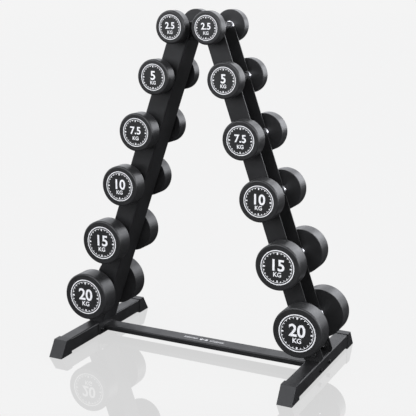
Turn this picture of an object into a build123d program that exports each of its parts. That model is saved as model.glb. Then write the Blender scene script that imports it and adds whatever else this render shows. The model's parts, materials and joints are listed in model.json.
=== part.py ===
"""Dumbbell rack: two leaning uprights on floor feet, carrying a pair of round dumbbells of each weight.

Millimetres. X runs along the crossbar to the right, Y from front to back, Z up.
The origin is on the floor, under the middle of the rack.
"""
from build123d import *
from math import cos, pi, radians, sin, tan
import os

# ---- feet
FOOT_SPACING = 881.0        # between the centre lines of the two foot tubes
FOOT_SIZE = 50.0            # square tube
FOOT_CORNER = 5.0           # outer corner radius of that tube
FOOT_LENGTH = 530.0
FOOT_LIFT = 5.5             # the tube's underside above the floor
TUBE_WALL = 2.0

# ---- foot caps, measured from the middle of the rack along Y
CAP_MOUTH = 241.0           # where the tube goes in
CAP_CREST = 272.0           # where the slanted nose begins, at the top
CAP_TOE = 307.5             # where the nose meets the floor
CAP_WALL = 1.8
CAP_NOSE_WALL = 3.0
CAP_PLAY = 0.2
CAP_EDGE = 1.5              # rounding of the nose's edges

# ---- crossbar
BAR_DEPTH = 60.0            # along Y
BAR_HEIGHT = 20.0
BAR_CORNER = 4.0
BAR_CENTRE_Z = 29.5
BAR_PLATE_LENGTH = 126.0    # along Y
BAR_PLATE_HEIGHT = 44.0
BAR_PLATE_THICKNESS = 4.0
BAR_PLATE_CORNER = 4.0
BAR_BOLT_SPACING = 88.0
BAR_BOLT_Z = 26.5

# ---- uprights, in their own frame: q outwards from the web, s along the upright from floor level
LEAN = 19.25                # degrees from the vertical
WEB_AT_FLOOR = 425.2        # where the line of the web's inner face would meet the floor
UPRIGHT_WIDTH = 72.0        # along q
UPRIGHT_DEPTH = 97.0        # along Y
SHEET = 3.0
SHEET_BEND = 5.0            # outer radius of the folds
TOE_RADIUS = 18.0           # lower outer corner of the flanges
UPRIGHT_TOP = 1247.0
LIP_TOP = 1208.4            # top of the outer lip in front of the highest handle
NOTCH_RADIUS = 15.0
NOTCH_Q = 51.3
TOP_NOTCH_Q = 45.0
LIP_RADIUS = 3.5

# ---- base bracket on each foot, and the bolts through it
BRACKET_INNER = 420.0       # along X
BRACKET_OUTER = 461.0
BRACKET_SHEET = 4.0
BRACKET_BEND = 2.0          # inner radius of its folds
BRACKET_TOP = 99.0
BRACKET_CORNER = 8.0        # upper corners of its ears
BRACKET_BOLT_X = 445.0
BRACKET_BOLT_Z = 80.0

# ---- link between the tops of the uprights
LINK_SHEET = 4.0
LINK_DEPTH = 70.0
LINK_TOP = 1158.0
LINK_BOTTOM = 1119.0
LINK_BOLT_Z = 1137.0
LINK_BOLT_SPACING = 36.0

# ---- dumbbells: weight in kg, head radius, head length, and the notch's place along the upright
DUMBBELLS = {
    "2_5kg": (2.5, 55.0, 37.5, 1217.0),
    "5kg": (5.0, 60.5, 41.5, 1038.0),
    "7_5kg": (7.5, 66.5, 51.5, 836.0),
    "10kg": (10.0, 71.5, 54.5, 629.0),
    "15kg": (15.0, 80.0, 64.5, 404.0),
    "20kg": (20.0, 87.5, 67.5, 177.0),
}
TOP_WEIGHT = "2_5kg"        # sits in the open notch at the upright's end
HEAD_GAP = 146.5            # between the inner faces of the two heads
HEAD_EDGE = 6.0             # rounding of the outer face's edge
HEAD_INNER_EDGE = 2.0
GRIP_RADIUS = 14.5
COLLAR_RADIUS = 17.0
COLLAR_WIDTH = 6.0
COLLAR_ROUND = 2.0          # edge towards the grip
COLLAR_EDGE = 1.0           # edge against the head
SPIGOT_RADIUS = 12.5        # the part of the handle that is inside a head
CORE_PLAY = 0.2
CORE_EDGE = 1.5
STEEL_DENSITY = 7.85e-6     # kg per cubic millimetre
IRON_DENSITY = 7.2e-6
RUBBER_DENSITY = 1.2e-6

# ---- fasteners: shank radius, width across flats of head and nut, head height, nut height
M8 = (4.0, 13.0, 5.3, 6.8)
M10 = (5.0, 16.0, 6.4, 8.4)
HOLE_PLAY = 0.3             # radial, around a shank
WASHER_THICKNESS = 1.6
WASHER_RADIUS = 0.62        # as a share of the width across flats
THREAD_END = 3.0            # how far a shank stands out of its nut

# ---- modelling
OVERRUN = 1.0               # how far a cutter goes past what it cuts
NEAR = 0.01                 # two places closer than this are the same
HALVINGS = 60               # steps of the search for a head's rubber thickness

FOOT_TOP = FOOT_LIFT + FOOT_SIZE
FOOT_X = FOOT_SPACING / 2
FOOT_INSIDE = FOOT_X - FOOT_SIZE / 2
FOOT_OUTSIDE = FOOT_X + FOOT_SIZE / 2
UPRIGHT_FRAME = Location((WEB_AT_FLOOR, 0, 0), (0, -LEAN, 0))
PARTS = {}


def web_x(z):
    """X of the right upright's inner face at height z."""
    return WEB_AT_FLOOR - z * tan(radians(LEAN))


def seat_height(q):
    """s at which a point q out from the web is level with the foot tube's top."""
    return (FOOT_TOP - q * sin(radians(LEAN))) / cos(radians(LEAN))


def across(shape):
    """The same shape on the other side of the rack."""
    return mirror(shape, about=Plane.YZ)


def keep(name, *solids):
    """Files a piece, or a group of like pieces, under its node's name."""
    PARTS[name] = solids[0] if len(solids) == 1 else Compound(children=list(solids))


def keep_pair(name, shape):
    """Files a piece of the right side and its mirror image."""
    keep("right_" + name, shape)
    keep("left_" + name, across(shape))


def tube(length, width, height, corner, wall):
    """Rectangular tube along Z, centred on the origin."""
    outer = RectangleRounded(width, height, corner)
    inner = RectangleRounded(width - 2 * wall, height - 2 * wall, corner - wall)
    return extrude(outer - inner, length / 2, both=True)


def rod(start, end, radius):
    """Cylinder from one point to another."""
    axis = Vector(end) - Vector(start)
    return Plane(origin=start, z_dir=axis) * extrude(Circle(radius), axis.length)


def hexagon(start, direction, height, flats):
    """Hexagonal prism, as of a bolt head or a nut."""
    outline = RegularPolygon(flats / 2, 6, major_radius=False)
    return Plane(origin=start, z_dir=direction) * extrude(outline, height)


def bolt_set(seat, direction, grip, size):
    """Bolt, its two washers and its nut. It goes in at seat along direction, and clamps grip millimetres."""
    shank, flats, head_height, nut_height = size
    seat, direction = Vector(seat), Vector(direction).normalized()
    far = seat + direction * grip
    under_head = seat - direction * WASHER_THICKNESS
    under_nut = far + direction * WASHER_THICKNESS
    end = under_nut + direction * (nut_height + THREAD_END)
    bolt = hexagon(under_head, -direction, head_height, flats) + rod(under_head, end, shank)
    hole = rod(under_head - direction * OVERRUN, end + direction * OVERRUN, shank + HOLE_PLAY)
    washers = [
        rod(face, other_face, flats * WASHER_RADIUS) - hole
        for face, other_face in ((under_head, seat), (far, under_nut))
    ]
    nut = hexagon(under_nut, direction, nut_height, flats) - hole
    return bolt, washers, nut


def hole_for(seat, direction, grip, size):
    """Cutter for the hole of a bolt, a little longer than what it clamps."""
    seat, direction = Vector(seat), Vector(direction).normalized()
    return rod(seat - direction * OVERRUN, seat + direction * (grip + OVERRUN), size[0] + HOLE_PLAY)


# ---------------------------------------------------------------- feet and crossbar
bar_bolts = [
    ((FOOT_OUTSIDE, side * BAR_BOLT_SPACING / 2, BAR_BOLT_Z), (-1, 0, 0))
    for side in (-1, 1)
]
bar_grip = FOOT_SIZE + BAR_PLATE_THICKNESS
bar_holes = [hole_for(seat, way, bar_grip, M8) for seat, way in bar_bolts]

foot = Rot(90, 0, 0) * tube(FOOT_LENGTH, FOOT_SIZE, FOOT_SIZE, FOOT_CORNER, TUBE_WALL)
foot = Pos(FOOT_X, 0, FOOT_LIFT + FOOT_SIZE / 2) * foot
for hole in bar_holes:
    foot -= hole
keep_pair("foot_tube", foot)

plate_outline = RectangleRounded(BAR_PLATE_LENGTH, BAR_PLATE_HEIGHT, BAR_PLATE_CORNER)
plate_plane = Plane(origin=(FOOT_INSIDE, 0, FOOT_LIFT + FOOT_SIZE / 2), x_dir=(0, 1, 0), z_dir=(-1, 0, 0))
plate = plate_plane * extrude(plate_outline, BAR_PLATE_THICKNESS)
for hole in bar_holes:
    plate -= hole
keep_pair("crossbar_plate", plate)

bar_length = 2 * (FOOT_INSIDE - BAR_PLATE_THICKNESS)
crossbar = Rot(0, 90, 0) * tube(bar_length, BAR_HEIGHT, BAR_DEPTH, BAR_CORNER, TUBE_WALL)
keep("crossbar", Pos(0, 0, BAR_CENTRE_Z) * crossbar)


def foot_cap():
    """Cap of the right foot's front end: a sleeve over the tube, a hollow slanted nose and a thick sole."""
    top = FOOT_TOP + CAP_WALL
    width = FOOT_SIZE + 2 * CAP_WALL
    run = (CAP_TOE - CAP_CREST) / top
    side = Polyline((-CAP_MOUTH, 0), (-CAP_MOUTH, top), (-CAP_CREST, top), (-CAP_TOE, 0), close=True)
    cap = extrude(Plane.YZ * make_face(side), width / 2, both=True)
    edges = [e for e in cap.edges() if e.center().Z > NEAR and abs(e.center().Y) > CAP_MOUTH + NEAR]
    cap = fillet(edges, CAP_EDGE)

    pocket_end = FOOT_LENGTH / 2 + CAP_PLAY
    size = FOOT_SIZE + 2 * CAP_PLAY
    pocket_outline = RectangleRounded(size, size, FOOT_CORNER + CAP_PLAY)
    pocket_plane = Plane(origin=(0, OVERRUN - CAP_MOUTH, FOOT_LIFT + FOOT_SIZE / 2), z_dir=(0, -1, 0))
    pocket = pocket_plane * extrude(pocket_outline, pocket_end - CAP_MOUTH + OVERRUN)

    low, high = FOOT_LIFT + CAP_NOSE_WALL, FOOT_TOP - CAP_NOSE_WALL
    slope_wall = CAP_NOSE_WALL * (1 + run**2) ** 0.5
    nose_low = CAP_TOE - run * low - slope_wall
    nose_high = CAP_TOE - run * high - slope_wall
    nose_end = OVERRUN - pocket_end
    nose_side = Polyline((nose_end, low), (nose_end, high), (-nose_high, high), (-nose_low, low), close=True)
    nose = extrude(Plane.YZ * make_face(nose_side), FOOT_SIZE / 2 - CAP_NOSE_WALL, both=True)
    return Pos(FOOT_X, 0, 0) * (cap - pocket - nose)


front_cap = foot_cap()
keep_pair("front_foot_cap", front_cap)
keep_pair("rear_foot_cap", mirror(front_cap, about=Plane.XZ))


# ---------------------------------------------------------------- uprights
def corner(profile, points, radius):
    """Rounds the corners of a face that lie at the given (q, s) points."""
    near = [
        v for v in profile.vertices()
        if any(abs(v.X - q) < NEAR and abs(v.Y - s) < NEAR for q, s in points)
    ]
    return fillet(near, radius)


def upright_side():
    """Outline of a flange with its notches, in (q, s)."""
    wide = UPRIGHT_WIDTH
    toe = (wide, seat_height(wide))
    heel = (0, seat_height(0))
    wall_q = TOP_NOTCH_Q - NOTCH_RADIUS
    outline = Polyline(heel, toe, (wide, LIP_TOP), (wall_q, LIP_TOP), (wall_q, UPRIGHT_TOP), (0, UPRIGHT_TOP),
                       close=True)
    side = corner(make_face(outline), [toe], TOE_RADIUS)
    side = corner(side, [(wall_q, UPRIGHT_TOP)], LIP_RADIUS)
    top_s = DUMBBELLS[TOP_WEIGHT][3]
    lip_q = TOP_NOTCH_Q + (NOTCH_RADIUS**2 - (top_s - LIP_TOP) ** 2) ** 0.5
    side -= Pos(TOP_NOTCH_Q, top_s) * Circle(NOTCH_RADIUS)
    side = corner(side, [(wide, LIP_TOP), (lip_q, LIP_TOP)], LIP_RADIUS)
    for name, (_, _, _, s) in DUMBBELLS.items():
        if name == TOP_WEIGHT:
            continue
        slot = Pos(NOTCH_Q, s) * Circle(NOTCH_RADIUS)
        slot_end = wide + OVERRUN
        slot += Pos((NOTCH_Q + slot_end) / 2, s) * Rectangle(slot_end - NOTCH_Q, 2 * NOTCH_RADIUS)
        side -= slot
        side = corner(side, [(wide, s - NOTCH_RADIUS), (wide, s + NOTCH_RADIUS)], LIP_RADIUS)
    return side


def channel():
    """The folded channel before its ends and notches are cut, standing on the origin."""
    half = UPRIGHT_DEPTH / 2
    outer = Pos(UPRIGHT_WIDTH / 2, 0) * Rectangle(UPRIGHT_WIDTH, UPRIGHT_DEPTH)
    outer = corner(outer, [(0, -half), (0, half)], SHEET_BEND)
    inside_width = UPRIGHT_WIDTH - SHEET + OVERRUN
    inner = Pos(SHEET + inside_width / 2, 0) * Rectangle(inside_width, UPRIGHT_DEPTH - 2 * SHEET)
    inner = corner(inner, [(SHEET, SHEET - half), (SHEET, half - SHEET)], SHEET_BEND - SHEET)
    return extrude(outer - inner, UPRIGHT_TOP)


# bolts through the flanges and the ears of the base bracket, from the front and from the back
half_depth = UPRIGHT_DEPTH / 2
ear_grip = SHEET + BRACKET_SHEET
upright_bolts = [
    ((BRACKET_BOLT_X, side * half_depth, BRACKET_BOLT_Z), (0, -side, 0))
    for side in (-1, 1)
]

# bolts through the web and the link, with their heads in the channel
lean_out = Vector(cos(radians(LEAN)), 0, sin(radians(LEAN)))
link_seat = Vector(web_x(LINK_BOLT_Z), 0, LINK_BOLT_Z) + lean_out * SHEET
link_grip = SHEET + LINK_SHEET
link_bolts = [
    (link_seat + Vector(0, side * LINK_BOLT_SPACING / 2, 0), -lean_out)
    for side in (-1, 1)
]

upright = UPRIGHT_FRAME * (channel() & extrude(Plane.XZ * upright_side(), half_depth, both=True))
for seat, way in upright_bolts:
    upright -= hole_for(seat, way, ear_grip, M10)
for seat, way in link_bolts:
    upright -= hole_for(seat, way, link_grip, M8)
keep_pair("upright", upright)


# ---------------------------------------------------------------- base brackets and top link
def base_bracket():
    """Saddle on the right foot tube: a floor and two ears inside the flanges."""
    inside = half_depth - SHEET
    floor = FOOT_TOP
    top = BRACKET_TOP
    outer = make_face(Polyline((-inside, floor), (inside, floor), (inside, top), (-inside, top), close=True))
    outer = corner(outer, [(-inside, floor), (inside, floor)], BRACKET_BEND + BRACKET_SHEET)
    gap = inside - BRACKET_SHEET
    low, high = floor + BRACKET_SHEET, top + OVERRUN
    inner = make_face(Polyline((-gap, low), (gap, low), (gap, high), (-gap, high), close=True))
    inner = corner(inner, [(-gap, low), (gap, low)], BRACKET_BEND)
    profile = Plane.YZ.offset(BRACKET_INNER) * (outer - inner)
    folded = extrude(profile, BRACKET_OUTER - BRACKET_INNER)
    tops = [e for e in folded.edges().filter_by(Axis.Y) if e.center().Z > top - NEAR]
    folded = fillet(tops, BRACKET_CORNER)
    for seat, way in upright_bolts:
        folded -= hole_for(seat, way, ear_grip, M10)
    return folded


keep_pair("base_bracket", base_bracket())


def top_link():
    """Folded bracket between the webs: a flat top and two legs that follow the lean."""
    rise = radians(LEAN)
    across_sheet = LINK_SHEET / cos(rise)
    top_x, bottom_x = web_x(LINK_TOP), web_x(LINK_BOTTOM)
    under = LINK_TOP - LINK_SHEET
    outer = Polyline((top_x, LINK_TOP), (bottom_x, LINK_BOTTOM), (-bottom_x, LINK_BOTTOM), (-top_x, LINK_TOP),
                     close=True)
    below = LINK_BOTTOM - OVERRUN
    inner_low = web_x(below) - across_sheet
    inner_high = web_x(under) - across_sheet
    inner = Polyline((inner_high, under), (inner_low, below), (-inner_low, below), (-inner_high, under),
                     close=True)
    section = make_face(outer) - make_face(inner)
    link = extrude(Plane.XZ * section, LINK_DEPTH / 2, both=True)
    for seat, way in link_bolts:
        hole = hole_for(seat, way, link_grip, M8)
        link = link - hole - across(hole)
    return link


keep("top_link", top_link())


# ---------------------------------------------------------------- fasteners
def fasten(name, bolts, grip, size):
    """Files the bolts, washers and nuts of one kind of joint, on both sides of the rack."""
    groups = {"bolts": [], "washers": [], "nuts": []}
    for seat, way in bolts:
        bolt, washers, nut = bolt_set(seat, way, grip, size)
        for group, solids in (("bolts", [bolt]), ("washers", washers), ("nuts", [nut])):
            groups[group] += solids + [across(solid) for solid in solids]
    for group, solids in groups.items():
        keep(f"{name}_{group}", *solids)


fasten("crossbar", bar_bolts, bar_grip, M8)
fasten("upright", upright_bolts, ear_grip, M10)
fasten("top_link", link_bolts, link_grip, M8)


# --------------------------------------------------------------- dumbbells, each built on the origin, along Y
def turned(radius, start, end):
    """Round bar along Y."""
    return rod((0, start, 0), (0, end, 0), radius)


def round_edges(shape, y, outer_radius, radius):
    """Rounds the circular edge of a turned shape at y that has the given radius."""
    edges = [
        e for e in shape.edges().filter_by(GeomType.CIRCLE)
        if abs(e.center().Y - y) < NEAR and abs(e.radius - outer_radius) < NEAR
    ]
    return fillet(edges, radius)


def handle(spigot_length):
    """Chromed bar with a ring against each head, and a spigot into each."""
    half = HEAD_GAP / 2
    bar = turned(GRIP_RADIUS, -half, half)
    for side in (-1, 1):
        inner, outer = side * (half - COLLAR_WIDTH), side * half
        ring = turned(COLLAR_RADIUS, inner, outer)
        ring = round_edges(ring, inner, COLLAR_RADIUS, COLLAR_ROUND)
        bar += round_edges(ring, outer, COLLAR_RADIUS, COLLAR_EDGE)
        bar += turned(SPIGOT_RADIUS, outer, outer + side * spigot_length)
    return bar


def cover_thickness(core_volume, radius, length):
    """Even thickness of rubber that leaves a core of that volume inside a head."""
    thin, thick = 0.0, length / 2
    for _ in range(HALVINGS):
        middle = (thin + thick) / 2
        volume = pi * (radius - middle) ** 2 * (length - 2 * middle)
        if volume > core_volume:
            thin = middle
        else:
            thick = middle
    return middle


def head_and_core(radius, length, cover):
    """Rubber head behind the handle, and the iron core that fills its hollow."""
    inner_face = HEAD_GAP / 2
    outer_face = inner_face + length
    head = turned(radius, inner_face, outer_face)
    head = round_edges(head, outer_face, radius, HEAD_EDGE)
    head = round_edges(head, inner_face, radius, HEAD_INNER_EDGE)
    core = turned(radius - cover, inner_face + cover, outer_face - cover)
    core = round_edges(core, inner_face + cover, radius - cover, CORE_EDGE)
    core = round_edges(core, outer_face - cover, radius - cover, CORE_EDGE)
    hollow = turned(radius - cover + CORE_PLAY, inner_face + cover, outer_face - cover)
    bore = turned(SPIGOT_RADIUS + CORE_PLAY, inner_face - OVERRUN, outer_face - cover)
    return head - hollow - bore, core - bore


for name, (mass, radius, length, s) in DUMBBELLS.items():
    bar_mass = STEEL_DENSITY * pi * GRIP_RADIUS**2 * (HEAD_GAP + length)
    rubber_mass = RUBBER_DENSITY * pi * radius**2 * length
    core_volume = ((mass - bar_mass) / 2 - rubber_mass) / (IRON_DENSITY - RUBBER_DENSITY)
    cover = cover_thickness(core_volume, radius, length)
    front, front_core = head_and_core(radius, length, cover)
    back, back_core = (mirror(shape, about=Plane.XZ) for shape in (front, front_core))
    grip = handle(length - cover)
    q = TOP_NOTCH_Q if name == TOP_WEIGHT else NOTCH_Q
    axis_at = (UPRIGHT_FRAME * Pos(q, 0, s)).position
    place = Pos(axis_at.X, 0, axis_at.Z)
    keep_pair(f"{name}_handle", place * grip)
    for node, solids in ((f"{name}_heads", (front, back)), (f"{name}_cores", (front_core, back_core))):
        placed = [place * solid for solid in solids]
        keep(f"right_{node}", *placed)
        keep(f"left_{node}", *[across(solid) for solid in placed])
    print(f"{name}: handle axis at X {axis_at.X:.2f}, Z {axis_at.Z:.2f}, rubber {cover:.1f} thick")

os.makedirs("parts", exist_ok=True)
for name, shape in PARTS.items():
    export_step(shape, f"parts/{name}.step")
print(len(PARTS), "nodes")
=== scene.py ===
"""Looks of a dumbbell rack with six pairs of round rubber dumbbells.

Metres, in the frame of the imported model: X along the crossbar, Y from front to back, Z up,
origin on the floor.
"""
from math import cos, floor, pi, radians, sin, tan
import json

import bmesh
import bpy
from mathutils import Matrix, Vector


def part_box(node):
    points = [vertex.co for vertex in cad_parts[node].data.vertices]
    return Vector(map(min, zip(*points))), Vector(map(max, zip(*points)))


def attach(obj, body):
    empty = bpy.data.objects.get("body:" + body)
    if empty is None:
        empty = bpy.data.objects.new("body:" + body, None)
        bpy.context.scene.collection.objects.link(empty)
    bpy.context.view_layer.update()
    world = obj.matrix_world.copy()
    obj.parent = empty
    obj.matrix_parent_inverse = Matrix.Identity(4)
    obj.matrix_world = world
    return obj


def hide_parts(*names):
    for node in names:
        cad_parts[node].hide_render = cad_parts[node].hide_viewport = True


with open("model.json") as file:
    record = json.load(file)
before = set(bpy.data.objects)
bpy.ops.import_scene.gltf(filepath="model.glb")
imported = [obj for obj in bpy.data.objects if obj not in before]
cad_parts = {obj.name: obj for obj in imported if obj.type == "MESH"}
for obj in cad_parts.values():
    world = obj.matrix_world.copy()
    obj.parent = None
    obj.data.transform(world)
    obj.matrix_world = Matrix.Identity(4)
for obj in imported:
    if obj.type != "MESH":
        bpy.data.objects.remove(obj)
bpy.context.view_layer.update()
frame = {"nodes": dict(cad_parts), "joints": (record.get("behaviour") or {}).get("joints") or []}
NODES = frame["nodes"]
SIDES = ("left", "right")
MM = 0.001

# ---- dumbbells: the weight in each one's node names, and the number printed on it
WEIGHTS = {"2_5kg": "2.5", "5kg": "5", "7_5kg": "7.5", "10kg": "10", "15kg": "15", "20kg": "20"}
HEAD_SEGMENTS = 128
HEAD_EDGE = 6 * MM          # rounding round the outer face
HEAD_INNER_EDGE = 2 * MM
CORE_PLAY = 0.2 * MM
SEAM_WIDTH = 0.8 * MM       # faint raised parting line round the middle of a head
SEAM_HEIGHT = 0.06 * MM
GRIP_RADIUS = 14.5 * MM
COLLAR_WIDTH = 6 * MM
COLLAR_RADIUS = 17 * MM
COLLAR_ROUND = 2 * MM       # edge towards the grip
COLLAR_EDGE = 1 * MM        # edge against the head
COLLAR_FILLET = 0.6 * MM    # corner between the grip and the collar
COLLAR_LEAD = 2 * MM        # from the end of the straight bar to the collar
SPIGOT_RADIUS = 12.5 * MM
SPIGOT_EDGE = 1 * MM
KNURLS = 30                 # diamonds round the grip
KNURL_STEPS = 4             # mesh steps across a diamond
KNURL_DEPTH = 0.16 * MM
KNURL_REACH = 43 * MM       # half the length of the knurled stretch
KNURL_RUNOUT = 1.5 * MM     # from its end to the smooth bar

# ---- prints: on a face, radii, widths and sizes are shares of the head's radius
INK = 0.15 * MM             # thickness of a print
PRINT_RINGS = ((0.745, 0.705), (0.655, 0.64))   # outer and inner radius of each ring
TICKS = 24
LONG_TICK_EVERY = 6
LONG_TICK = (0.55, 0.645, 0.03)                 # inner radius, outer radius, half width
SHORT_TICK = (0.59, 0.645, 0.018)
NUMBER_SIZE = 0.68
LONG_NUMBER_SIZE = 0.54     # for three characters
NUMBER_HEIGHT = 0.10        # how far above the middle it stands
NUMBER_WEIGHT = 0.022       # how much its strokes are thickened, as a share of its size
UNIT_SIZE = 0.27
UNIT_HEIGHT = -0.30
UNIT_WEIGHT = 0.02
LETTER_WELD = 0.001 * MM    # corners of a letter closer than this are one
# x, y, width and depth of each bar of the crossbar's print, in millimetres
BAR_PRINT = (
    (0.0, 0.0, 14.0, 3.0),
    (-9.0, 0.0, 3.5, 15.0),
    (-13.5, 0.0, 3.5, 10.0),
    (-52.0, 3.5, 56.0, 2.0),
    (-52.0, -3.5, 56.0, 2.0),
    (9.0, 0.0, 3.5, 15.0),
    (13.5, 0.0, 3.5, 10.0),
    (52.0, 3.5, 56.0, 2.0),
    (52.0, -3.5, 56.0, 2.0),
)
BAR_PRINT_CORNER = 0.2      # corner radius, as a share of a bar's narrower side

# ---- fasteners: shank radius, width across flats, head height, nut height, thread pitch
M8 = (4 * MM, 13 * MM, 5.3 * MM, 6.8 * MM, 1.25 * MM)
M10 = (5 * MM, 16 * MM, 6.4 * MM, 8.4 * MM, 1.5 * MM)
FASTENER_SEGMENTS = 48
WASHER = 1.6 * MM
WASHER_RADIUS = 0.62        # as a share of the width across flats
WASHER_EDGE = 0.3 * MM
WASHER_PLAY = 0.3 * MM      # radial, around the shank
NUT_PLAY = 0.1 * MM
COUNTERSINK = 0.8 * MM
CROWN_RADIUS = 0.48         # flat middle of a crown, as a share of the width across flats
CROWN_START = 0.8           # where its chamfer begins, as a share of the height
CROWN_RINGS = 4
DISH = (0.36, 0.4)          # floor and rim of the dish in a bolt's head, as shares of the width
DISH_DEPTH = 0.3 * MM
THREAD_DEPTH = 0.55         # as a share of the pitch
THREAD_STEPS = 4            # mesh steps in one pitch
THREAD_LENGTH = 22 * MM
THREAD_START = 2 * MM       # nearest that a thread comes to the head
THREAD_RUNOUT = 0.5 * MM
THREAD_END = 3 * MM         # how far a bolt stands out of its nut

# ---- edges and welds
EASED = {"upright": 0.25 * MM, "base_bracket": 0.3 * MM, "crossbar_plate": 0.3 * MM, "foot_tube": 0.2 * MM}
EASED_OTHER = 0.25 * MM
EASED_ANGLE = 35.0          # degrees between faces whose edge is eased
SAME_PLACE = 0.01 * MM      # corners closer than this are one
SAME_PLANE = 0.3            # degrees between faces that are one
BAR_CORNER = 4 * MM
BAR_BEAD = 1.8 * MM         # radius of the bead round the crossbar
BRACKET_BEAD = 2 * MM
BRACKET_BEAD_INSET = 9 * MM
BEAD_RIPPLE = 2.2 * MM
BEAD_WAVE = 0.1             # how far the ripples go either way, as a share of the radius
BEAD_STEPS = 4              # mesh steps in one ripple
BEAD_SIDES = 10
BEAD_TIP = 0.6 * MM         # radius at the very end of a bead

# ---- camera and light
CAMERA_AT = (1.46557, -2.88112, 1.30968)
CAMERA_AZIMUTH = 26.68      # degrees
CAMERA_ELEVATION = 13.5
CAMERA_ROLL = -0.08
LENS = 81.6                 # millimetres
SENSOR = 36.0
PALE = 0.905                # brightness of the backdrop and the floor
FLOOR_REACH = 150.0
FLOOR_MIRROR = 0.25         # share of the floor's brightness that is a mirror image
FLOOR_ROUGHNESS = 0.02
FLOOR_SHADE = 0.06          # share that the rack can shade
FLOOR_FADE = (15.0, 45.0)   # from here to there the floor turns into the plain backdrop
HORIZON = 1.5               # light from round the horizon
OVERHEAD = 0.6
DOME_DIMS = (0.42, 0.6)     # sines of the heights between which it falls from one to the other
BELOW_FRONT = 0.09          # light from below
BELOW_BACK = 0.03
BELOW_TURN = 0.15           # how far either way from the middle the one turns into the other
GROUND_LINE = 0.02          # how far either way from the horizon the light below fades in
LIGHT_TINT = (0.975, 0.99, 1.04, 1.0)
# name: (place, what it faces, width, height, power in watts)
LAMPS = {
    "top_back": ((0.3, 1.7, 2.6), (0.0, 0.0, 0.6), 2.0, 1.2, 15.0),
    "back_right": ((0.9, 1.95, 1.25), (0.2, 0.0, 0.5), 0.8, 1.0, 6.0),
    "far_right": ((2.4, 1.2, 1.4), (0.2, 0.0, 0.6), 1.0, 1.4, 15.0),
    "side": ((2.6, -0.6, 1.6), (0.0, 0.0, 0.6), 1.2, 1.6, 45.0),
    "front": ((0.4, -3.6, 2.0), (0.0, 0.0, 0.7), 1.8, 1.4, 32.0),
    "front_left": ((-1.6, -2.4, 2.6), (0.0, 0.0, 0.5), 1.6, 1.2, 26.0),
}


# ---------------------------------------------------------------- node trees
def node(tree, kind, inputs=None, **settings):
    """Adds a node. Each input is a value or another node's output."""
    made = tree.nodes.new(kind)
    for name, value in settings.items():
        setattr(made, name, value)
    for name, value in (inputs or {}).items():
        if isinstance(value, bpy.types.NodeSocket):
            tree.links.new(value, made.inputs[name])
        else:
            made.inputs[name].default_value = value
    return made


def new_material(name, **constants):
    """A Principled material with its constant sockets set, and its tree, shader and object coordinates."""
    material = bpy.data.materials.new(name)
    material.use_nodes = True
    tree = material.node_tree
    shader = tree.nodes["Principled BSDF"]
    for socket, value in constants.items():
        shader.inputs[socket.replace("_", " ")].default_value = value
    place = node(tree, "ShaderNodeTexCoord").outputs["Object"]
    return material, tree, shader, place


def noise(tree, place, scale, detail=2.0, roughness=0.5):
    made = node(tree, "ShaderNodeTexNoise", {
        "Vector": place, "Scale": scale, "Detail": detail, "Roughness": roughness,
    })
    return made.outputs["Fac"]


def stretched(tree, place, scale, turn=(0.0, 0.0, 0.0)):
    """Coordinates scaled unevenly, for streaks and scratches."""
    made = node(tree, "ShaderNodeMapping", {"Vector": place, "Scale": scale, "Rotation": turn})
    return made.outputs["Vector"]


def remap(tree, value, span, result=(0.0, 1.0)):
    """value from a span to a result range, held at both ends."""
    made = node(tree, "ShaderNodeMapRange", {
        "Value": value, "From Min": span[0], "From Max": span[1], "To Min": result[0], "To Max": result[1],
    })
    return made.outputs["Result"]


def add(tree, a, b):
    return node(tree, "ShaderNodeMath", {0: a, 1: b}, operation="ADD").outputs[0]


def tint(tree, share, colour_a, colour_b):
    """Colour between two, by share."""
    made = node(tree, "ShaderNodeMix", data_type="RGBA")
    for socket, value in ((made.inputs[0], share), (made.inputs[6], colour_a), (made.inputs[7], colour_b)):
        if isinstance(value, bpy.types.NodeSocket):
            tree.links.new(value, socket)
        else:
            socket.default_value = value
    return made.outputs[2]


def grey(value, blue=1.0):
    """Grey with its blue part scaled."""
    return (value, value, value * blue, 1.0)


def bump(tree, height, strength, depth, under=None):
    inputs = {"Height": height, "Strength": strength, "Distance": depth}
    if under is not None:
        inputs["Normal"] = under
    return node(tree, "ShaderNodeBump", inputs).outputs["Normal"]


def connect(tree, shader, **sockets):
    for socket, value in sockets.items():
        tree.links.new(value, shader.inputs[socket.replace("_", " ")])


# ---------------------------------------------------------------- materials
def powder_coat():
    """Black powder coat: an orange-peel skin, cloudy sheen, and a few fine handling marks."""
    material, tree, shader, place = new_material("powder_coat", IOR=1.5)
    cloud = noise(tree, place, scale=14.0, detail=4.0, roughness=0.6)
    peel = noise(tree, place, scale=620.0, detail=2.0, roughness=0.4)
    grit = noise(tree, place, scale=2600.0, detail=1.0)
    along = stretched(tree, place, scale=(700.0, 22.0, 30.0), turn=(0.3, 0.5, 0.9))
    marks = noise(tree, along, scale=1.0, detail=3.0, roughness=0.6)
    scuff = remap(tree, marks, (0.68, 0.78))
    base = tint(tree, remap(tree, cloud, (0.35, 0.65)), grey(0.0085), grey(0.012, 1.04))
    colour = tint(tree, scuff, base, grey(0.028, 1.03))
    dull = remap(tree, cloud, (0.3, 0.7), (0.36, 0.46))
    rough = add(tree, dull, remap(tree, scuff, (0.0, 1.0), (0.0, 0.1)))
    under = bump(tree, grit, strength=0.2, depth=0.04 * MM)
    skin = bump(tree, peel, strength=0.35, depth=0.12 * MM, under=under)
    connect(tree, shader, Base_Color=colour, Roughness=rough, Normal=skin)
    return material


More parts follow.
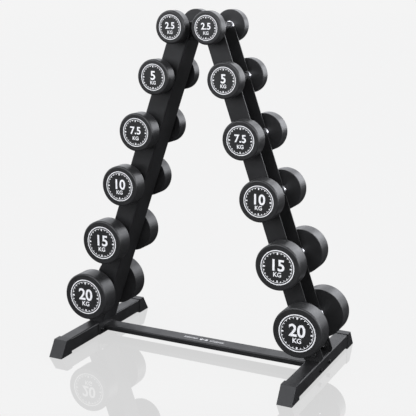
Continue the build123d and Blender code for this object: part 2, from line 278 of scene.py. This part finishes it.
def cap_plastic():
    """Moulded charcoal plastic with a spark-eroded grain."""
    material, tree, shader, place = new_material("cap_plastic", IOR=1.47)
    cloud = noise(tree, place, scale=30.0, detail=3.0)
    grain = noise(tree, place, scale=1500.0, detail=3.0, roughness=0.7)
    base = tint(tree, remap(tree, cloud, (0.3, 0.7)), grey(0.009, 1.04), grey(0.012, 1.04))
    colour = tint(tree, remap(tree, grain, (0.55, 0.75), (0.0, 0.5)), base, grey(0.022, 1.04))
    rough = remap(tree, grain, (0.3, 0.7), (0.4, 0.5))
    skin = bump(tree, grain, strength=0.5, depth=0.12 * MM)
    connect(tree, shader, Base_Color=colour, Roughness=rough, Normal=skin)
    return material


def rubber():
    """Moulded rubber: dark, with a fine grain, faint flow marks and a soft uneven sheen."""
    material, tree, shader, place = new_material("rubber", IOR=1.5)
    cloud = noise(tree, place, scale=24.0, detail=4.0, roughness=0.6)
    grain = noise(tree, place, scale=1700.0, detail=2.0, roughness=0.6)
    flow = noise(tree, stretched(tree, place, scale=(60.0, 9.0, 60.0)), scale=1.0, detail=2.0)
    base = tint(tree, remap(tree, cloud, (0.3, 0.7)), grey(0.0155), grey(0.021, 1.02))
    colour = tint(tree, remap(tree, grain, (0.6, 0.8), (0.0, 0.35)), base, grey(0.034, 1.02))
    dull = remap(tree, cloud, (0.3, 0.7), (0.29, 0.36))
    rough = add(tree, dull, remap(tree, flow, (0.4, 0.7), (0.0, 0.05)))
    under = bump(tree, flow, strength=0.15, depth=0.3 * MM)
    skin = bump(tree, grain, strength=0.45, depth=0.1 * MM, under=under)
    connect(tree, shader, Base_Color=colour, Roughness=rough, Normal=skin)
    return material


def white_ink():
    """Printed white ink, a little thin in places."""
    material, tree, shader, place = new_material("white_ink", IOR=1.45)
    speckle = noise(tree, place, scale=1200.0, detail=3.0, roughness=0.7)
    cloud = noise(tree, place, scale=90.0, detail=2.0)
    base = tint(tree, remap(tree, cloud, (0.3, 0.7)), grey(0.84), grey(0.92))
    colour = tint(tree, remap(tree, speckle, (0.68, 0.8), (0.0, 0.5)), base, grey(0.5))
    rough = remap(tree, speckle, (0.3, 0.7), (0.4, 0.55))
    skin = bump(tree, speckle, strength=0.2, depth=0.04 * MM)
    connect(tree, shader, Base_Color=colour, Roughness=rough, Normal=skin)
    return material


def chrome():
    """Bright chrome plate, with faint smudges."""
    material, tree, shader, place = new_material("chrome", Metallic=1.0)
    smudge = noise(tree, place, scale=70.0, detail=4.0, roughness=0.65)
    fine = noise(tree, place, scale=900.0, detail=2.0)
    colour = tint(tree, remap(tree, smudge, (0.3, 0.7)), grey(0.66, 1.02), grey(0.82, 1.02))
    rough = remap(tree, smudge, (0.35, 0.7), (0.17, 0.28))
    skin = bump(tree, fine, strength=0.08, depth=0.02 * MM)
    connect(tree, shader, Base_Color=colour, Roughness=rough, Normal=skin)
    return material


def cast_iron():
    """Rough grey castings, inside the heads."""
    material, tree, shader, place = new_material("cast_iron", Metallic=0.85)
    grain = noise(tree, place, scale=420.0, detail=5.0, roughness=0.7)
    rust = noise(tree, place, scale=45.0, detail=4.0, roughness=0.6)
    colour = tint(tree, remap(tree, rust, (0.55, 0.7), (0.0, 0.7)), grey(0.14), (0.13, 0.065, 0.035, 1.0))
    rough = remap(tree, grain, (0.3, 0.7), (0.5, 0.75))
    skin = bump(tree, grain, strength=0.7, depth=0.4 * MM)
    connect(tree, shader, Base_Color=colour, Roughness=rough, Normal=skin)
    return material


def black_zinc():
    """Black plated fasteners with a satin gleam where the tool touched."""
    material, tree, shader, place = new_material("black_zinc", Metallic=1.0)
    grain = noise(tree, place, scale=1500.0, detail=3.0, roughness=0.6)
    worn = noise(tree, place, scale=190.0, detail=4.0, roughness=0.7)
    colour = tint(tree, remap(tree, worn, (0.55, 0.72)), grey(0.05), grey(0.2, 1.03))
    rough = remap(tree, grain, (0.3, 0.7), (0.28, 0.42))
    skin = bump(tree, grain, strength=0.3, depth=0.05 * MM)
    connect(tree, shader, Base_Color=colour, Roughness=rough, Normal=skin)
    return material


PAINT = powder_coat()
PLASTIC = cap_plastic()
RUBBER = rubber()
WHITE = white_ink()
CHROME = chrome()
IRON = cast_iron()
BLACK_STEEL = black_zinc()


# ---------------------------------------------------------------- mesh building
def rounded(corners, steps=6):
    """Outline through (x, y, radius) corners, with an arc in each corner that has a radius."""
    points = []
    for i, (x, y, radius) in enumerate(corners):
        here = Vector((x, y))
        if not radius:
            points.append((x, y))
            continue
        back = (Vector(corners[i - 1][:2]) - here).normalized()
        on = (Vector(corners[(i + 1) % len(corners)][:2]) - here).normalized()
        half = back.angle(on) / 2
        centre = here + (back + on).normalized() * radius / sin(half)
        arm = here + back * radius / tan(half) - centre
        turn = pi - 2 * half
        if back.x * on.y - back.y * on.x > 0:
            turn = -turn
        for k in range(steps + 1):
            spoke = Matrix.Rotation(turn * k / steps, 2) @ arm
            points.append(tuple(centre + spoke))
    return points


def turned(rings, segments=96, loop=False):
    """Solid about Y through rings of (radius, y), where a radius is a number or a function of the angle.

    A ring of radius 0 is a point on the axis. The ends are closed, or joined to each other in a loop.
    """
    solid = bmesh.new()
    angles = [2 * pi * i / segments for i in range(segments)]
    made = []
    for radius, y in rings:
        if radius == 0.0:
            made.append([solid.verts.new((0.0, y, 0.0))])
            continue
        ring = []
        for angle in angles:
            reach = radius(angle) if callable(radius) else radius
            ring.append(solid.verts.new((reach * cos(angle), y, reach * sin(angle))))
        made.append(ring)
    pairs = list(zip(made, made[1:]))
    if loop:
        pairs.append((made[-1], made[0]))
    else:
        for end in (made[0], made[-1]):
            if len(end) > 1:
                solid.faces.new(end)
    for a, b in pairs:
        if len(a) == 1 and len(b) == 1:
            continue
        for i in range(segments):
            j = (i + 1) % segments
            if len(a) == 1:
                solid.faces.new((a[0], b[i], b[j]))
            elif len(b) == 1:
                solid.faces.new((a[i], b[0], a[j]))
            else:
                solid.faces.new((a[i], b[i], b[j], a[j]))
    bmesh.ops.recalc_face_normals(solid, faces=solid.faces)
    return solid


def merged(parts):
    """One mesh of several (bmesh, matrix) parts, which it uses up."""
    whole = bmesh.new()
    for part, matrix in parts:
        part.transform(matrix)
        step = bpy.data.meshes.new("step")
        part.to_mesh(step)
        part.free()
        whole.from_mesh(step)
        bpy.data.meshes.remove(step)
    return whole


def piece(name, solid, material, body, replaces=(), sharp=35.0):
    """Turns a bmesh into a shaded object that rides on a body."""
    mesh = bpy.data.meshes.new(name)
    solid.to_mesh(mesh)
    solid.free()
    mesh.shade_smooth()
    mesh.set_sharp_from_angle(angle=radians(sharp))
    mesh.materials.append(material)
    made = bpy.data.objects.new(name, mesh)
    bpy.context.scene.collection.objects.link(made)
    shade = made.modifiers.new("shade", "WEIGHTED_NORMAL")
    shade.keep_sharp = True
    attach(made, body)
    if replaces:
        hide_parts(*replaces)


def slab(outline, thickness):
    """Flat plate with an outline in X and Z, whose front lies thickness before Y = 0."""
    plate = bmesh.new()
    back = [plate.verts.new((x, 0.0, z)) for x, z in outline]
    front = [plate.verts.new((x, -thickness, z)) for x, z in outline]
    plate.faces.new(back)
    plate.faces.new(front)
    for i in range(len(outline)):
        j = (i + 1) % len(outline)
        plate.faces.new((back[i], back[j], front[j], front[i]))
    bmesh.ops.recalc_face_normals(plate, faces=plate.faces)
    return plate


def lettering(text, size, weight, thickness):
    """Plain digits or letters as a solid in X and Z, centred, whose front lies thickness before Y = 0."""
    curve = bpy.data.curves.new("lettering", "FONT")
    curve.body = text
    curve.size = size
    curve.offset = weight * size
    curve.extrude = thickness / 2
    curve.align_x = "CENTER"
    curve.resolution_u = 6
    letters = bpy.data.objects.new("lettering", curve)
    bpy.context.scene.collection.objects.link(letters)
    view = bpy.context.evaluated_depsgraph_get()
    mesh = bpy.data.meshes.new_from_object(letters.evaluated_get(view))
    solid = bmesh.new()
    solid.from_mesh(mesh)
    bpy.data.objects.remove(letters)
    bpy.data.curves.remove(curve)
    bpy.data.meshes.remove(mesh)
    bmesh.ops.remove_doubles(solid, verts=solid.verts, dist=LETTER_WELD)
    low = min(v.co.y for v in solid.verts)
    high = max(v.co.y for v in solid.verts)
    upright = Matrix.Rotation(pi / 2, 4, "X") @ Matrix.Translation((0, -(low + high) / 2, thickness / 2))
    solid.transform(upright)
    return solid


# ---------------------------------------------------------------- dumbbells
def dumbbell_facts(side, weight):
    """Where a dumbbell is and how large, read from its CAD nodes."""
    heads, cores, handle = (f"{side}_{weight}_{part}" for part in ("heads", "cores", "handle"))
    low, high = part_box(heads)
    core_low, core_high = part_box(cores)
    inner = min(abs(v.co.y) for v in NODES[heads].data.vertices)
    return {
        "place": Matrix.Translation(((low.x + high.x) / 2, 0, (low.z + high.z) / 2)),
        "radius": (high.z - low.z) / 2,
        "inner": inner,
        "outer": high.y,
        "cover": high.y - core_high.y,
        "core_radius": (core_high.z - core_low.z) / 2,
        "spigot_end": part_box(handle)[1].y,
    }


def head(facts):
    """Rubber shell of the head at +Y, hollow for its core and open for the handle's spigot."""
    wide = facts["radius"]
    side = wide - SEAM_HEIGHT
    inner, outer, cover = facts["inner"], facts["outer"], facts["cover"]
    hollow = facts["core_radius"] + CORE_PLAY
    bore = SPIGOT_RADIUS + CORE_PLAY
    middle = (inner + outer) / 2
    seam = SEAM_WIDTH / 2
    outline = rounded([
        (bore, inner, 0.0),
        (side, inner, HEAD_INNER_EDGE),
        (side, middle - seam, 0.0),
        (wide, middle - seam / 3, 0.0),
        (wide, middle + seam / 3, 0.0),
        (side, middle + seam, 0.0),
        (side, outer, HEAD_EDGE),
        (0.0, outer, 0.0),
        (0.0, outer - cover, 0.0),
        (hollow, outer - cover, 0.0),
        (hollow, inner + cover, 0.0),
        (bore, inner + cover, 0.0),
    ], steps=8)
    return turned(outline, HEAD_SEGMENTS, loop=True)


def knurled(y):
    """Radius round the grip at y, as a function of the angle: two crossing sets of grooves."""
    pitch = 2 * pi * GRIP_RADIUS / KNURLS

    def groove(turns):
        return abs(2 * (turns - floor(turns)) - 1)

    def radius(angle):
        round_it = angle * KNURLS / (2 * pi)
        along = y / pitch
        return GRIP_RADIUS - KNURL_DEPTH * max(groove(round_it + along), groove(round_it - along))

    return radius


def handle(facts):
    """Chromed bar: knurled grip, smooth ends, a ring against each head, and the spigots in the heads."""
    inner, end = facts["inner"], facts["spigot_end"]
    ring = inner - COLLAR_WIDTH
    half = rounded([
        (GRIP_RADIUS, KNURL_REACH + KNURL_RUNOUT, 0.0),
        (GRIP_RADIUS, ring - COLLAR_LEAD, 0.0),
        (GRIP_RADIUS, ring, COLLAR_FILLET),
        (COLLAR_RADIUS, ring, COLLAR_ROUND),
        (COLLAR_RADIUS, inner, COLLAR_EDGE),
        (SPIGOT_RADIUS, inner, 0.0),
        (SPIGOT_RADIUS, end, SPIGOT_EDGE),
        (0.0, end, 0.0),
    ], steps=5)
    step = 2 * pi * GRIP_RADIUS / KNURLS / KNURL_STEPS
    count = int(KNURL_REACH / step)
    grip = [(knurled(k * step), k * step) for k in range(-count, count + 1)]
    left = [(radius, -y) for radius, y in reversed(half)]
    return turned(left + grip + half, KNURLS * KNURL_STEPS)


def face_print(facts, number):
    """Print on the face at -Y: a closed ring with tick marks, the weight, and its unit."""
    size = facts["radius"]
    parts = []
    for outer, inner in PRINT_RINGS:
        band = [(size * inner, 0.0), (size * outer, 0.0), (size * outer, -INK), (size * inner, -INK)]
        parts.append((turned(band, loop=True), Matrix.Identity(4)))
    for k in range(TICKS):
        low, high, wide = (size * share for share in (SHORT_TICK if k % LONG_TICK_EVERY else LONG_TICK))
        tick = slab([(-wide, low), (wide, low), (wide, high), (-wide, high)], INK)
        parts.append((tick, Matrix.Rotation(2 * pi * k / TICKS, 4, "Y")))
    digits = NUMBER_SIZE if len(number) < 3 else LONG_NUMBER_SIZE
    for text, share, weight, height in (
        (number, digits, NUMBER_WEIGHT, NUMBER_HEIGHT),
        ("KG", UNIT_SIZE, UNIT_WEIGHT, UNIT_HEIGHT),
    ):
        place = Matrix.Translation((0, 0, size * height))
        parts.append((lettering(text, size * share, weight, INK), place))
    return merged(parts)


def dumbbell(side, weight):
    facts = dumbbell_facts(side, weight)
    place = facts["place"]
    name = f"{side}_{weight}"
    body = f"{name}_dumbbell"
    flip = Matrix.Rotation(pi, 4, "Z")
    heads = merged([(head(facts), place), (head(facts), place @ flip)])
    piece(f"{name}_rubber_heads", heads, RUBBER, body, [f"{name}_heads"], sharp=40.0)
    bar = merged([(handle(facts), place)])
    piece(f"{name}_chrome_handle", bar, CHROME, body, [f"{name}_handle"], sharp=50.0)
    to_face = Matrix.Translation((0, -facts["outer"], 0))
    turns = (Matrix.Identity(4), flip)
    prints = [(face_print(facts, WEIGHTS[weight]), place @ turn @ to_face) for turn in turns]
    piece(f"{name}_print", merged(prints), WHITE, body)
    coat(f"{name}_cores", IRON)


# ---------------------------------------------------------------- the rack's sheet, tubes and caps
def coat(name, material):
    """Gives a CAD node its material."""
    mesh = NODES[name].data
    mesh.materials.clear()
    mesh.materials.append(material)


def ease(name, width):
    """Rounds a CAD node's sharp edges a little, as paint and deburring do."""
    made = NODES[name]
    weld = made.modifiers.new("weld", "WELD")
    weld.merge_threshold = SAME_PLACE
    flat = made.modifiers.new("flat", "DECIMATE")
    flat.decimate_type = "DISSOLVE"
    flat.angle_limit = radians(SAME_PLANE)
    edge = made.modifiers.new("edge", "BEVEL")
    edge.width = width
    edge.segments = 2
    edge.limit_method = "ANGLE"
    edge.angle_limit = radians(EASED_ANGLE)
    edge.harden_normals = False
    shade = made.modifiers.new("shade", "WEIGHTED_NORMAL")
    shade.keep_sharp = False


def rack_pieces():
    for side in SIDES:
        for part, width in EASED.items():
            coat(f"{side}_{part}", PAINT)
            ease(f"{side}_{part}", width)
        for end in ("front", "rear"):
            coat(f"{side}_{end}_foot_cap", PLASTIC)
            ease(f"{side}_{end}_foot_cap", EASED_OTHER)
    for name in ("crossbar", "top_link"):
        coat(name, PAINT)
        ease(name, EASED_OTHER)


# ---------------------------------------------------------------- welds
def bead(path, radius, closed=False):
    """Weld bead along a path: a round rope with the scalloped ripples of the run."""
    points = []
    ends = list(zip(path, path[1:] + path[:1])) if closed else list(zip(path, path[1:]))
    travelled = 0.0
    for start, end in ends:
        start, end = Vector(start), Vector(end)
        length = (end - start).length
        count = max(1, round(length / (BEAD_RIPPLE / BEAD_STEPS)))
        for k in range(count):
            points.append((start.lerp(end, k / count), travelled + length * k / count))
        travelled += length
    if not closed:
        points.append((Vector(path[-1]), travelled))
    rope = bmesh.new()
    angles = [2 * pi * k / BEAD_SIDES for k in range(BEAD_SIDES)]
    rings = []
    for i, (point, far) in enumerate(points):
        before = points[i - 1][0] if closed or i else point
        after = points[(i + 1) % len(points)][0] if closed or i < len(points) - 1 else point
        along = (after - before).normalized()
        side = along.orthogonal() if abs(along.z) > 0.9 else along.cross(Vector((0, 0, 1)))
        side = side.normalized()
        up = side.cross(along)
        taper = 1.0
        if not closed:
            taper = min(1.0, (far + BEAD_TIP) / radius, (travelled - far + BEAD_TIP) / radius)
        reach = radius * taper * (1 - BEAD_WAVE + BEAD_WAVE * sin(2 * pi * far / BEAD_RIPPLE))
        rings.append([
            rope.verts.new(point + (side * cos(angle) + up * sin(angle)) * reach) for angle in angles
        ])
    pairs = list(zip(rings, rings[1:]))
    if closed:
        pairs.append((rings[-1], rings[0]))
    else:
        rope.faces.new(rings[0])
        rope.faces.new(rings[-1])
    for a, b in pairs:
        for k in range(BEAD_SIDES):
            j = (k + 1) % BEAD_SIDES
            rope.faces.new((a[k], b[k], b[j], a[j]))
    bmesh.ops.recalc_face_normals(rope, faces=rope.faces)
    return rope


def weld_beads():
    """Beads round both ends of the crossbar, and beside the base brackets on the feet."""
    low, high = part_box("crossbar")
    corners = ((low.y, low.z), (high.y, low.z), (high.y, high.z), (low.y, high.z))
    outline = rounded([(y, z, BAR_CORNER) for y, z in corners], steps=4)
    still = Matrix.Identity(4)
    beads = []
    for x in (low.x, high.x):
        beads.append((bead([(x, y, z) for y, z in outline], BAR_BEAD, closed=True), still))
    for side in SIDES:
        low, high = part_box(f"{side}_base_bracket")
        reach = (high.y - low.y) / 2 - BRACKET_BEAD_INSET
        for x in (low.x, high.x):
            beads.append((bead([(x, -reach, low.z), (x, reach, low.z)], BRACKET_BEAD), still))
    piece("weld_beads", merged(beads), PAINT, "rack", sharp=60.0)


# ---------------------------------------------------------------- fasteners
def hexagon(flats, cap):
    """Radius of a hexagon round its axis, cut back to a circle of radius cap."""
    def radius(angle):
        off = (angle + pi / 6) % (pi / 3) - pi / 6
        return min(flats / 2 / cos(off), cap)
    return radius


def thread(shank, pitch, y):
    """Radius round a screw thread at y, as a function of the angle."""
    def radius(angle):
        turns = y / pitch - angle / (2 * pi)
        return shank - THREAD_DEPTH * pitch * abs(2 * (turns - floor(turns)) - 1)
    return radius


def chamfers(flats, start, end):
    """Hexagon rings from start to end with a chamfered crown at end."""
    corner = flats / 2 / cos(pi / 6)
    crown = end - start
    rings = [(hexagon(flats, corner), start)]
    for k in range(CROWN_RINGS):
        share = k / (CROWN_RINGS - 1)
        cap = corner - share * (corner - CROWN_RADIUS * flats)
        rings.append((hexagon(flats, cap), start + crown * (CROWN_START + (1 - CROWN_START) * share)))
    return rings


def bolt(length, size):
    """Bolt along +Y from the crown of its head to its tip: the length includes the head."""
    shank, flats, head_height, _, pitch = size
    crown = [(radius, head_height - y) for radius, y in reversed(chamfers(flats, 0.0, head_height))]
    floor_radius, rim_radius = (share * flats for share in DISH)
    rings = [(0.0, DISH_DEPTH), (floor_radius, DISH_DEPTH), (rim_radius, 0.0)] + crown
    rings.append((shank, head_height))
    y = max(length - THREAD_LENGTH, head_height + THREAD_START)
    rings.append((shank, y - THREAD_RUNOUT))
    while y < length - pitch:
        rings.append((thread(shank, pitch, y), y))
        y += pitch / THREAD_STEPS
    rings += [(shank - THREAD_DEPTH * pitch, length), (0.0, length)]
    return turned(rings, FASTENER_SEGMENTS)


def nut(size):
    """Nut from Y = 0 up, chamfered on both faces, with a countersunk bore."""
    shank, flats, _, height, pitch = size
    upper = chamfers(flats, height / 2, height)
    lower = [(radius, height - y) for radius, y in reversed(upper)]
    bore = shank + NUT_PLAY
    rings = lower + upper + [
        (bore + COUNTERSINK, height),
        (bore, height - COUNTERSINK),
        (bore, COUNTERSINK),
        (bore + COUNTERSINK, 0.0),
    ]
    return turned(rings, FASTENER_SEGMENTS, loop=True)


def washer(size):
    shank, flats = size[:2]
    bore, edge = shank + WASHER_PLAY, WASHER_RADIUS * flats
    ring = rounded([
        (bore, 0.0, 0.0),
        (edge, 0.0, WASHER_EDGE),
        (edge, WASHER, WASHER_EDGE),
        (bore, WASHER, 0.0),
    ], steps=3)
    return turned(ring, FASTENER_SEGMENTS, loop=True)


def fasteners(kind, size, axis):
    """Bolts, washers and nuts of one kind of joint, with one bolt in each quarter of the rack.

    axis gives the way a bolt points, from its quarter's signs of X and Y.
    """
    bolts, washers, nuts = [], [], []
    head_height, nut_height = size[2:4]
    for x_sign in (-1, 1):
        for y_sign in (-1, 1):
            way = Vector(axis(x_sign, y_sign)).normalized()
            near = [
                v.co for v in NODES[f"{kind}_bolts"].data.vertices
                if v.co.x * x_sign > 0 and v.co.y * y_sign > 0
            ]
            turn = Vector((0, 1, 0)).rotation_difference(way).to_matrix().to_4x4()
            back = turn.inverted()
            local = [back @ point for point in near]
            start = min(p.y for p in local)
            end = max(p.y for p in local)
            x = (min(p.x for p in local) + max(p.x for p in local)) / 2
            z = (min(p.z for p in local) + max(p.z for p in local)) / 2
            nut_at = end - THREAD_END - nut_height
            bolts.append((bolt(end - start, size), turn @ Matrix.Translation((x, start, z))))
            nuts.append((nut(size), turn @ Matrix.Translation((x, nut_at, z))))
            for y in (start + head_height, nut_at - WASHER):
                washers.append((washer(size), turn @ Matrix.Translation((x, y, z))))
    for part, solids in (("bolts", bolts), ("washers", washers), ("nuts", nuts)):
        name = f"{kind}_{part}"
        piece(f"{name}_made", merged(solids), BLACK_STEEL, "rack", [name], sharp=25.0)


def lean_axis(x_sign, _):
    """Way the link's bolts point: inwards, square to the upright's web."""
    outwards = next(j["axis"] for j in frame["joints"] if j["name"] == "right_5kg_lift")
    return (-x_sign * outwards[0], 0.0, -outwards[2])


# ---------------------------------------------------------------- print on the crossbar
def crossbar_print():
    """Small plain dumbbell sign between two lines, on top of the crossbar."""
    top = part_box("crossbar")[1].z
    parts = []
    for x, y, width, depth in BAR_PRINT:
        half_width, half_depth = width / 2 * MM, depth / 2 * MM
        corner = min(width, depth) * BAR_PRINT_CORNER * MM
        outline = rounded([
            (-half_width, -half_depth, corner),
            (half_width, -half_depth, corner),
            (half_width, half_depth, corner),
            (-half_width, half_depth, corner),
        ], steps=3)
        flat = Matrix.Translation((x * MM, y * MM, top)) @ Matrix.Rotation(-pi / 2, 4, "X")
        parts.append((slab(outline, INK), flat))
    piece("crossbar_print", merged(parts), WHITE, "rack")


# ---------------------------------------------------------------- floor, light and camera
def floor_material():
    """Pale glossy floor: evenly bright, barely shaded, with a faint mirror image that fades far away."""
    material = bpy.data.materials.new("studio_floor")
    material.use_nodes = True
    tree = material.node_tree
    tree.nodes.clear()
    image = [PALE / (HORIZON * light) for light in LIGHT_TINT[:3]] + [1.0]
    mirror = node(tree, "ShaderNodeBsdfGlossy", {"Color": image, "Roughness": FLOOR_ROUGHNESS})
    even = node(tree, "ShaderNodeEmission", {"Color": grey(PALE - FLOOR_SHADE), "Strength": 1.0})
    shaded = node(tree, "ShaderNodeBsdfDiffuse", {"Color": grey(FLOOR_SHADE)})
    pale = node(tree, "ShaderNodeAddShader", {0: even.outputs[0], 1: shaded.outputs[0]})
    near = node(tree, "ShaderNodeMixShader", {0: FLOOR_MIRROR, 1: pale.outputs[0], 2: mirror.outputs[0]})
    far = node(tree, "ShaderNodeEmission", {"Color": grey(PALE), "Strength": 1.0})
    place = node(tree, "ShaderNodeTexCoord").outputs["Object"]
    distance = node(tree, "ShaderNodeVectorMath", {0: place}, operation="LENGTH").outputs["Value"]
    fade = remap(tree, distance, FLOOR_FADE)
    mixed = node(tree, "ShaderNodeMixShader", {0: fade, 1: near.outputs[0], 2: far.outputs[0]})
    node(tree, "ShaderNodeOutputMaterial", {"Surface": mixed.outputs[0]})
    return material


def make_floor():
    ground = bmesh.new()
    bmesh.ops.create_grid(ground, x_segments=1, y_segments=1, size=FLOOR_REACH)
    mesh = bpy.data.meshes.new("studio_floor")
    ground.to_mesh(mesh)
    ground.free()
    mesh.materials.append(floor_material())
    made = bpy.data.objects.new("studio_floor", mesh)
    bpy.context.scene.collection.objects.link(made)
    made.visible_diffuse = False
    made.visible_glossy = False
    return made


def make_world():
    """Even pale backdrop to the eye. As light: bright round the horizon, dimmer overhead, dark below."""
    world = bpy.data.worlds.new("studio")
    bpy.context.scene.world = world
    world.use_nodes = True
    tree = world.node_tree
    tree.nodes.clear()
    direction = node(tree, "ShaderNodeTexCoord").outputs["Generated"]
    parts = node(tree, "ShaderNodeSeparateXYZ", {0: direction})
    height, depth = parts.outputs["Z"], parts.outputs["Y"]
    dome = remap(tree, height, DOME_DIMS, (HORIZON, OVERHEAD))
    below = remap(tree, depth, (-BELOW_TURN, BELOW_TURN), (BELOW_FRONT, BELOW_BACK))
    level = remap(tree, height, (-GROUND_LINE, GROUND_LINE), (below, dome))
    light = node(tree, "ShaderNodeBackground", {"Color": LIGHT_TINT, "Strength": level})
    seen = node(tree, "ShaderNodeBackground", {"Color": grey(1.0), "Strength": PALE})
    camera_ray = node(tree, "ShaderNodeLightPath").outputs["Is Camera Ray"]
    mixed = node(tree, "ShaderNodeMixShader", {0: camera_ray, 1: light.outputs[0], 2: seen.outputs[0]})
    node(tree, "ShaderNodeOutputWorld", {"Surface": mixed.outputs[0]})


def make_lamps(ground):
    """Soft boxes round the rack, which light it and leave the floor even."""
    unlit = bpy.data.collections.new("not_lit_by_lamps")
    unlit.objects.link(ground)
    unlit.collection_objects[0].light_linking.link_state = "EXCLUDE"
    for name, (place, target, width, height, power) in LAMPS.items():
        lamp = bpy.data.lights.new(name, "AREA")
        lamp.shape = "RECTANGLE"
        lamp.size = width
        lamp.size_y = height
        lamp.energy = power
        lamp.color = LIGHT_TINT[:3]
        made = bpy.data.objects.new(name, lamp)
        bpy.context.scene.collection.objects.link(made)
        made.location = place
        made.rotation_mode = "QUATERNION"
        made.rotation_quaternion = (Vector(target) - Vector(place)).to_track_quat("-Z", "Y")
        made.visible_camera = False
        made.light_linking.receiver_collection = unlit


def make_camera():
    camera = bpy.data.cameras.new("camera")
    camera.lens = LENS
    camera.sensor_width = SENSOR
    camera.clip_end = 2 * FLOOR_REACH
    made = bpy.data.objects.new("camera", camera)
    bpy.context.scene.collection.objects.link(made)
    azimuth, elevation = radians(CAMERA_AZIMUTH), radians(CAMERA_ELEVATION)
    back = Vector((sin(azimuth) * cos(elevation), -cos(azimuth) * cos(elevation), sin(elevation)))
    right = Vector((cos(azimuth), sin(azimuth), 0.0))
    facing = Matrix((right, back.cross(right), back)).transposed().to_4x4()
    roll = Matrix.Rotation(radians(CAMERA_ROLL), 4, "Z")
    made.matrix_world = Matrix.Translation(CAMERA_AT) @ facing @ roll
    bpy.context.scene.camera = made


for side in SIDES:
    for weight in WEIGHTS:
        dumbbell(side, weight)
rack_pieces()
weld_beads()
fasteners("crossbar", M8, lambda x_sign, y_sign: (-x_sign, 0, 0))
fasteners("upright", M10, lambda x_sign, y_sign: (0, -y_sign, 0))
fasteners("top_link", M8, lean_axis)
crossbar_print()
make_world()
make_lamps(make_floor())
make_camera()
bpy.context.scene.view_settings.view_transform = "Standard"
